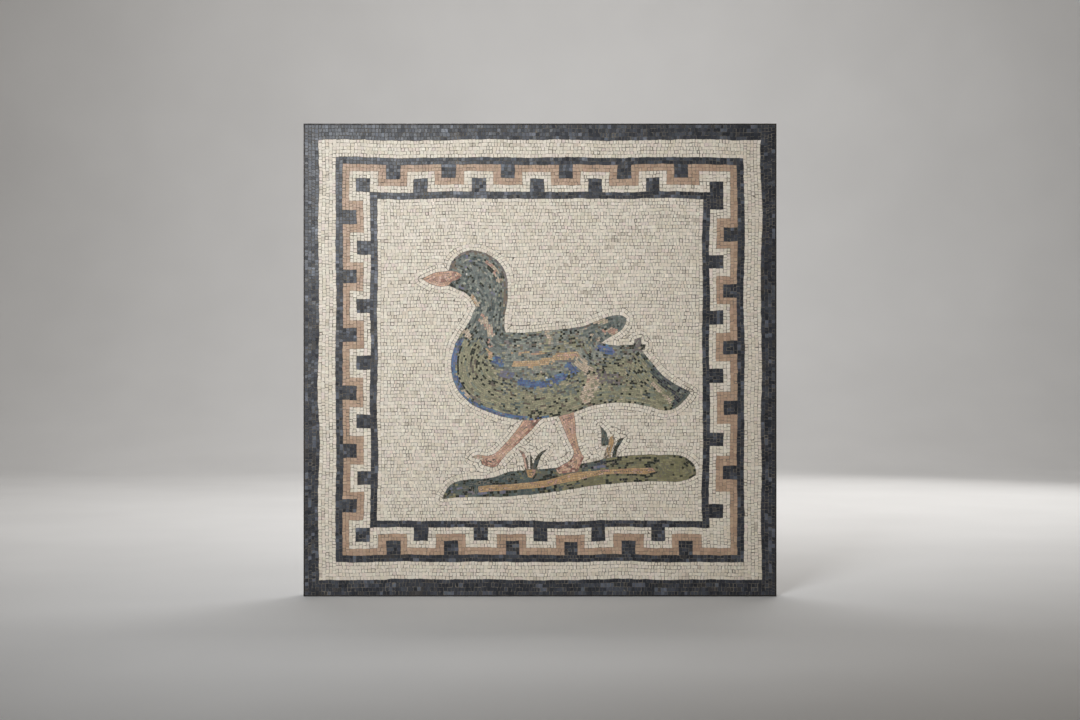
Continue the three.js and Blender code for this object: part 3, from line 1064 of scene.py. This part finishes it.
# Strokes on the duck: a path, then the width, stone and share of each stroke along it.
BREAST_TO_WING = (
    # Breast
    ([(-22.3, -8.7), (-20.7, -10.3)], (1.3, "beige", 0.85)),
    ([(-19.8, -10.6), (-17.2, -12.3)], (1.2, "mauve", 0.6)),
    # Head and neck
    ([(-15.4, 28.4), (-13.4, 26.8), (-11.9, 23.4)], (1.4, "beige", 0.85), (1.2, "rose", 0.35)),
    ([(-15.2, 26.8), (-13.9, 25.8)], (0.9, "fleck", 0.7)),
    ([(-19.6, 18.4), (-18.4, 16.4)], (1.5, "beige", 0.85), (1.5, "tan", 0.3)),
    ([(-16.8, 12.4), (-15, 10.2), (-13.8, 8)], (2.2, "beige", 0.8), (1.6, "rose", 0.5)),
    ([(-21.8, 8.4), (-20.6, 7.4)], (1.7, "beige", 0.75)),
    ([(-15, 3.2), (-14, 0.9)], (1.3, "orange", 0.75)),
    ([(-14.6, 6.6), (-14.2, 4.4)], (0.9, "rose", 0.5)),
    # Wing: tan and orange stripes, blue bar and patches
    ([(-8, 1.6), (-3, 2), (1.2, 2)], (0.9, "orange", 0.7)),
    ([(-6.9, -1.2), (-2, -1.3), (1.8, -0.7), (5.7, 0.9), (10.2, 1.3)], (1.9, "orange", 0.95)),
    ([(5.9, 1.2), (10.4, 1.5)], (0.9, "salmon", 0.7)),
    ([(-12.8, 0.2), (-11, -1)], (2.1, "blue", 0.8)),
    ([(-10.8, -3.7), (-8.6, -4.4)], (1.9, "violet", 0.85)),
    ([(-5.6, -6.4), (-3, -7.2), (0.9, -7.2), (4.7, -5.9), (6.9, -4.8)], (2.0, "blue", 0.86)),
    ([(8.5, -1.4), (10, -3.9)], (2.3, "blue", 0.8)),
    ([(1, -4.6), (1.9, -5.1)], (0.8, "white", 0.5)),
    ([(17.3, 3.5), (20.6, 2.6)], (2.2, "blue", 0.85)),
    ([(11.6, -0.6), (13.8, -3)], (3.0, "beige", 0.92)),
    ([(15.2, -5.8), (14.4, -8), (13.4, -10.6)], (3.6, "beige", 0.9), (3.0, "rose", 0.08)),
    ([(12.6, -3.9), (15.4, -3.7)], (0.7, "fleck", 0.8)),
)
WING_TIP_AND_TAIL = (
    ([(16.6, 11.2), (18.8, 11.4)], (1.7, "beige", 0.85)),
    ([(19.4, 8.2), (21.6, 8.4)], (1.9, "beige", 0.85), (1.9, "rose", 0.5)),
    ([(15.2, 7.2), (16.6, 6)], (1.5, "beige", 0.5)),
    ([(2.2, 7.8), (2.4, 5)], (1.5, "beige", 0.7)),
    ([(30, 1.2), (33.4, -3.2)], (1.5, "ground_slate", 0.9), (1.3, "fleck", 0.3)),
    ([(33.6, -3.8), (36.4, -6.6), (39.6, -9.6), (42.6, -10)],
     (3.2, "ground_slate", 0.9), (3.0, "slate", 0.3)),
)


def paint_duck(duck):
    """The duck's plumage."""
    seam = np.interp(duck.x, SEAM_X, SEAM_Z)
    paint_greens(duck, seam)
    paint_flecks(duck, seam)
    paint_outline(duck)
    duck.strokes(BREAST_TO_WING)
    paint_tail(duck)
    duck.strokes([([EYE], (2.2, "ground_slate", 0.8), (2.0, "fleck", 0.3))])
    from_eye = far_from(duck.places, EYE)
    duck.lay(from_eye == from_eye.min(), "white")


def paint_greens(duck, seam):
    """Head, neck and back are blue-green; the two greens mix where they meet."""
    x, z = duck.x, duck.z
    above, below = z > seam, z < seam
    back = above & (x > -10)
    duck.lay(z > seam + rng.normal(0, 1.3, len(x)), "blue_green")
    duck.lay(below & (x > -12) & (x < 12) & (z > -10), "blue_green", 0.3)
    duck.lay(above & (x > -12), "olive", 0.12)
    duck.dash(below & (x > 12) & (x < 32), "blue_green", 0.08)
    duck.dash(below & (x > -20) & (x < 28), "brown", 0.07)
    duck.dash(back, "brown", 0.1)
    duck.dash(back, "mauve", 0.14)
    duck.dash(back & (z < 9), "grey_green", 0.5)
    duck.lay((z > 12) & (x < -9), "violet", 0.03)
    duck.dash(above & (x > -9) & (x < 16), "beige", 0.015)
    wing = (z > 2.4) & (x > 1) & (x < 17)
    duck.dash(wing & (z < 6.5), "olive", 0.4)
    duck.dash(wing & (z < 5), "fleck", 0.08)
    duck.stroke([(15, -4.6), (19, -5.2), (22, -5.6)], 3.2, "mauve", 0.6)


def paint_flecks(duck, seam):
    """Small dark flecks lie thickly on the breast, thinly on the belly and rump."""
    x, z, depth = duck.x, duck.z, duck.depth
    head = (z > 6) & (x < -9)
    duck.lay(z < seam, "fleck", 0.07)
    duck.lay(head, "fleck", 0.09)
    duck.lay(head, "ground_slate", 0.14)
    duck.lay(head, "grey_green", 0.12)
    duck.dash((z < seam + 4) & (x > -22) & (x < -12) & (z > -9), "fleck", 0.07)
    duck.lay(far_from(duck.places, *NECK_FLECKS) < 2.2, "fleck", 0.09)
    duck.lay((x > 12) & (z < 3) & (z > -9), "fleck", 0.07)
    duck.lay((z > 1) & (z < 9) & (x > -8), "fleck", 0.06)
    duck.lay((depth < 2.2) & (depth > 1.5) & (z < 4) & (x < -20), "fleck", 0.65)
    duck.lay((z < -14.8) & (x > -3.6) & (x < 6), "fleck", 0.5)
    duck.lay((z < -12.5) & (x < -6), "ground_slate", 0.3)


def paint_outline(duck):
    """The blue rim of the breast and belly, and the brown line round the crown."""
    x, z, depth = duck.x, duck.z, duck.depth
    outermost = depth < 0.6
    rim = (x < -3.8) & (z < 6.2) & (depth < np.where(z < -9, 1.1, 1.5) + rng.normal(0, 0.12, len(x)))
    duck.lay(rim, "blue", 0.95)
    duck.lay(rim, "violet", 0.2)
    duck.lay(rim, "ground_slate", 0.12)
    duck.lay(outermost & (x > -4) & (x < 3) & (z < -12), "blue", 0.6)
    crown = (z > 15.5) & ((z > 26) | (x > -16)) & (x < -9)
    duck.lay(crown & (depth < 0.55), "brown", 0.85)
    duck.lay(crown & (depth > 0.55) & (depth < 1.1), "brown", 0.45)
    duck.lay(crown & (depth < 0.8), "mauve", 0.5)
    duck.lay(outermost & (z > 9) & (z < 15.5) & (x > -14), "brown", 0.4)
    duck.lay(outermost & (z > 18) & (z < 23.5) & (x < -18), "fleck", 0.6)
    duck.lay(outermost & (x > 8) & (z < 4), "fleck", 0.22)


def paint_tail(duck):
    """The wing's tip and the tail."""
    x, z = duck.x, duck.z
    duck.lay((x > 14) & (z > 5.4), "blue_green", 0.7)
    duck.dash((x > 12) & (z > 5), "ground_slate", 0.25)
    duck.strokes(WING_TIP_AND_TAIL)
    tip = (x > 38.4) & (z + x < 33)
    duck.lay(tip, "ground_slate", 0.9)
    duck.lay(tip, "slate", 0.3)
    duck.lay((x > 30) & (duck.depth < 3) & (z + x > 29.5), "blue_green", 0.25)
    duck.stroke([(32.5, -6.8), (35, -9.6), (37.3, -11.8)], 0.9, "beige", 0.85)
    duck.lay((x > 26.9) & (x < 29.6) & (z > 2.6), "mauve", 0.85)
    duck.lay((x > 26.2) & (z > 3) & (z < 4.5) & ((x < 27.6) | (x > 29.3)), "fleck", 0.9)


def paint_bill(bill):
    bill.lay(bill.everywhere, "peach", 0.5)
    bill.stroke([(-32.5, 23.2), (-29.5, 23.3), (-26.8, 23.3)], 0.9, "rose", 0.7)
    bill.stroke([(-28.6, 23), (-27.4, 23)], 0.7, "red_brown", 0.8)
    bill.lay(bill.x > -25.6, "rose", 0.5)
    bill.lay((bill.x > -26) & (bill.depth < 0.5), "red_brown", 0.55)


def paint_front_leg(leg):
    leg.lay(leg.everywhere, "peach", 0.4)
    leg.lay(leg.everywhere, "rose", 0.15)
    shaded = far_from(leg.places, (1, -17.2), (-6.4, -24.6), (-10.8, -29.6), (-13.5, -31.2)) < 0.8
    leg.lay(shaded, "red_brown", 0.7)
    leg.lay((leg.x > -3) & (leg.z > -19.5), "red_brown", 0.4)
    leg.lay((leg.x > -17.2) & (leg.x < -14.8) & (leg.z < -29.4), "red_brown", 0.6)
    leg.lay(leg.x < -17, "beige", 0.4)


def paint_rear_leg(leg):
    leg.lay(leg.everywhere, "salmon", 0.15)
    leg.lay(leg.everywhere, "rose", 0.28)
    leg.lay((leg.x > 8.5) & (leg.z > -20), "rose", 0.5)
    leg.lay((leg.z < -28) & (leg.depth < 0.5), "red_brown", 0.4)
    leg.stroke([(7.4, -30.6), (9, -30.8), (9.8, -31.6)], 0.7, "red_brown", 0.6)


def paint_ground(earth):
    x, z = earth.x, earth.z
    patch = (x > 11.5) & (x < 19.5)
    earth.lay(x < 5 + rng.normal(0, 3, len(x)), "ground_slate", 0.9)
    earth.lay(patch & (z > -32), "ground_slate", 0.85)
    earth.dash(patch & (z > -31), "slate", 0.2)
    earth.dash(patch & (z > -31), "violet", 0.15)
    earth.dash((x < -8) & (z < -37), "violet", 0.12)
    earth.dash((x > 19) & (x < 34), "fleck", 0.15)
    earth.dash(x > 5, "fleck", 0.07)
    earth.dash(x <= 5, "fleck", 0.2)
    earth.lay((x > 43) & (earth.depth < 0.6), "fleck", 0.7)
    earth.lay(earth.depth < 0.5, "fleck", 0.12)


def paint_stripe(stripe):
    stripe.dash(stripe.everywhere, "rose", 0.15)


# Each figure: node, width of its rows and length of its stones in modules, stone, painter and slot.
FIGURES = (
    ("duck_body", 0.55, 0.74, "olive", paint_duck, "duck_green"),
    ("duck_bill", 0.6, 0.72, "salmon", paint_bill, "salmon"),
    ("duck_front_leg", 0.6, 0.75, "salmon", paint_front_leg, "salmon"),
    ("duck_rear_leg", 0.6, 0.75, "peach", paint_rear_leg, "salmon"),
    ("ground", 0.6, 0.85, "ground_olive", paint_ground, "ground_green"),
    ("ground_stripe", 0.44, 0.8, "tan", paint_stripe, "orange"),
    ("near_tuft_base", 0.6, 0.7, "tan", mixed(("rose", 0.3)), "orange"),
    ("near_tuft_left_blade", 0.45, 0.8, "rose", mixed(("brown", 0.5)), "salmon"),
    ("near_tuft_middle_blade", 0.4, 0.8, "fleck", mixed(("brown", 0.3)), "black_green"),
    ("near_tuft_right_blade", 0.5, 0.8, "ground_slate", mixed(("fleck", 0.5)), "black_green"),
    ("far_tuft_left_leaf", 0.5, 0.8, "ground_slate", mixed(("fleck", 0.12)), "slate"),
    ("far_tuft_middle_blade", 0.45, 0.8, "beige", mixed(("tan", 0.5), ("brown", 0.1)), "orange"),
    ("far_tuft_right_blade", 0.5, 0.8, "fleck", mixed(("ground_slate", 0.3)), "black_green"),
)


# ---- mortar bed and edge bar

MORTAR_CELLS = 180
MORTAR_ROUGHNESS = 0.22 * MILLIMETRE
BACK_ROUGHNESS = 0.9 * MILLIMETRE
# How many features of each size the cast surfaces have along a side.
MORTAR_FEATURES = (20, 60, 180)
BACK_FEATURES = (5, 12, 45)


def uneven_surface(cells, counts, depth):
    """Smooth random heights from 0 to depth on a square grid, with features of several sizes."""
    total = np.zeros((cells + 1, cells + 1))
    spots = np.linspace(0, 1, cells + 1)
    for count in counts:
        coarse = rng.uniform(0, 1, (count + 1, count + 1))
        knots = np.linspace(0, 1, count + 1)
        across = np.array([np.interp(spots, knots, row) for row in coarse])
        total += np.array([np.interp(spots, knots, column) for column in across.T]).T
    return (total - total.min()) / np.ptp(total) * depth


def add_mortar_bed():
    """The cast bed. Its front lies just behind the stones' faces and shows between them as grout."""
    low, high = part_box("mortar_bed")
    n = MORTAR_CELLS + 1
    xs = np.linspace(low[0], high[0], n)
    zs = np.linspace(low[2], high[2], n)
    x, z = np.meshgrid(xs, zs)
    front_y = FRONT + MORTAR_RECESS + uneven_surface(MORTAR_CELLS, MORTAR_FEATURES, MORTAR_ROUGHNESS)
    back_y = high[1] - uneven_surface(MORTAR_CELLS, BACK_FEATURES, BACK_ROUGHNESS)
    sides = [np.stack([x, y, z], -1).reshape(-1, 3) for y in (front_y, back_y)]
    grid = np.arange(n * n).reshape(n, n)
    front = np.stack([grid[:-1, :-1], grid[:-1, 1:], grid[1:, 1:], grid[1:, :-1]], -1).reshape(-1, 4)
    back = front[:, ::-1] + n * n
    rim = np.concatenate([grid[0, :-1], grid[:-1, -1], grid[-1, :0:-1], grid[:0:-1, 0]])
    after = np.roll(rim, -1)
    walls = np.stack([after, rim, rim + n * n, after + n * n], 1)
    mesh = quad_mesh("mortar_bed_cast", np.vstack(sides), np.vstack([front, back, walls]))
    link("mortar_bed_cast", mesh, mortar_material(), "mortar", "mortar_bed")


BAR_ROUND = 0.5 * MILLIMETRE
ROUND_STEP = 30  # degrees between the points of a rounded edge
BAR_STEPS = 48  # lengths along each side of the bar
BAR_STRAY = 0.12 * MILLIMETRE
BAR_WAVES = 9  # places along a side between which the bar strays
STRAIGHT_ENDS = 6  # it strays fully from a sixth of half a side away from a corner
# The way along each side of the panel and the way out of it: lower, right, upper, left.
BAR_SIDES = (((1, 0), (0, -1)), ((0, 1), (1, 0)), ((-1, 0), (0, 1)), ((0, -1), (-1, 0)))


def bar_section(thickness, depth):
    """The bar's section: (distance in from the outer face, depth from the back), with eased edges."""
    near, far, low, high = BAR_ROUND, thickness - BAR_ROUND, BAR_ROUND, depth - BAR_ROUND
    points = []
    for across, up, turn in ((near, low, 270), (near, high, 180), (far, high, 90), (far, low, 0)):
        for degrees in range(turn, turn - 91, -ROUND_STEP):
            angle = math.radians(degrees)
            points.append((across + BAR_ROUND * math.cos(angle), up + BAR_ROUND * math.sin(angle)))
    return points


def add_edge_bar():
    """The steel bar round the panel: four lengths, mitred and welded into one ring."""
    low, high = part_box("edge_frame")
    thickness = border_low[0] - CLEARANCE - low[0]
    section = bar_section(thickness, high[1] - low[1])
    half = (high[0] - low[0]) / 2
    shares = np.linspace(-1, 1, BAR_STEPS + 1)[:-1]
    stray = uneven_surface(BAR_STEPS, (BAR_WAVES,), BAR_STRAY)
    points = []
    for side, ((cx, cz), (nx, nz)) in enumerate(BAR_SIDES):
        for k, share in enumerate(shares):
            ease = min(1, STRAIGHT_ENDS * (1 - abs(share)))
            for inward, up in section:
                reach = half - inward - (stray[side, k] * ease if 0 < k else 0)
                run = share * (half - inward)
                points.append((cx * run + nx * reach, high[1] - up, cz * run + nz * reach))
    ring = np.arange(len(points)).reshape(-1, len(section))
    after = np.roll(ring, -1, 0)
    faces = np.stack([ring, after, np.roll(after, -1, 1), np.roll(ring, -1, 1)], -1).reshape(-1, 4)
    mesh = quad_mesh("edge_bar", points, faces)
    link("edge_bar", mesh, steel_material(), "edge_steel", "edge_frame")


# ---- the stage

PHOTO_SHARE = 0.43796  # how much of the picture's width the panel takes
LENS = 60
SENSOR = 36
RISE_Y, RISE_RADIUS = 5.0, 2.5  # where the floor curves up, and how widely
STAGE_TOP, STAGE_REACH = 6.0, 14.0


def add_camera():
    data = bpy.data.cameras.new("camera")
    data.lens = LENS
    data.sensor_width = SENSOR
    camera = new_object("camera", data)
    width = cad_high[0] - cad_low[0]
    distance = width / PHOTO_SHARE * LENS / SENSOR
    camera.location = (0, FRONT - distance, 0)
    camera.rotation_euler = (math.radians(90), 0, 0)
    bpy.context.scene.camera = camera


def add_light(name, place, size, power, colour, target, spread):
    data = bpy.data.lights.new(name, "AREA")
    data.shape = "SQUARE"
    data.size = size
    data.spread = math.radians(spread)
    data.energy = power
    data.color = colour
    light = new_object(name, data)
    light.location = place
    way = np.array(target, float) - place
    light.rotation_euler = Vector(way).to_track_quat("-Z", "Y").to_euler()


def stage_material():
    nodes = Nodes("stage_pale")
    nodes.feed("Base Color", nodes.spread(nodes.noise(1.5, 2), 0.78, 0.82))
    nodes.fix("Roughness", 0.85)
    return nodes.material


def add_stage():
    """A pale floor that curves up into a pale backdrop, far behind the panel."""
    floor_z = cad_low[2]
    profile = [(-STAGE_REACH, floor_z)]
    for turn in np.radians(np.arange(0, 91, 5)):
        rise = RISE_RADIUS * (1 - math.cos(turn))
        profile.append((RISE_Y + RISE_RADIUS * math.sin(turn), floor_z + rise))
    profile.append((RISE_Y + RISE_RADIUS, STAGE_TOP))
    points = [(x, y, z) for y, z in profile for x in (-STAGE_REACH, STAGE_REACH)]
    faces = np.array([(2 * k, 2 * k + 1, 2 * k + 3, 2 * k + 2) for k in range(len(profile) - 1)])
    mesh = quad_mesh("stage", points, faces)
    mesh.polygons.foreach_set("use_smooth", [True] * len(faces))
    mesh.materials.append(stage_material())
    new_object("stage", mesh)


# Each light: name, place, size in metres, power in watts, colour, target and spread in degrees.
LIGHTS = (
    ("key", (-1.12, -3.7, 1.2), 1.1, 15.8, (0.94, 0.97, 1.0), (-0.3, 0, 0.3), 60),
    ("fill", (3.4, -4.2, 0.6), 3.0, 7, (1.0, 0.86, 0.68), (0, 0, 0), 180),
    ("backdrop", (0, 2.2, 3.6), 3.0, 150, (1.0, 0.98, 0.96), (0, 5, 0), 180),
    ("back", (2.4, 3.6, 1.6), 3.0, 38, (1.0, 0.98, 0.95), (0, 0, 0), 180),
)


def add_lights():
    """The four soft lights and a dim warm world."""
    for light in LIGHTS:
        add_light(*light)
    world = bpy.data.worlds.new("studio")
    world.use_nodes = True
    background = world.node_tree.nodes["Background"]
    background.inputs["Color"].default_value = (0.98, 0.91, 0.82, 1)
    background.inputs["Strength"].default_value = 0.11
    bpy.context.scene.world = world
    bpy.context.scene.view_settings.view_transform = "Standard"


# ---- everything

add_camera()
add_stage()
add_lights()
add_edge_bar()
add_mortar_bed()
add_border("slate_border", HALF_PANEL, HALF_CREAM, "slate")
add_border("cream_border", HALF_CREAM, HALF_FRET_LINE, "cream")
add_fret()
add_field()
for figure in FIGURES:
    add_figure(*figure)
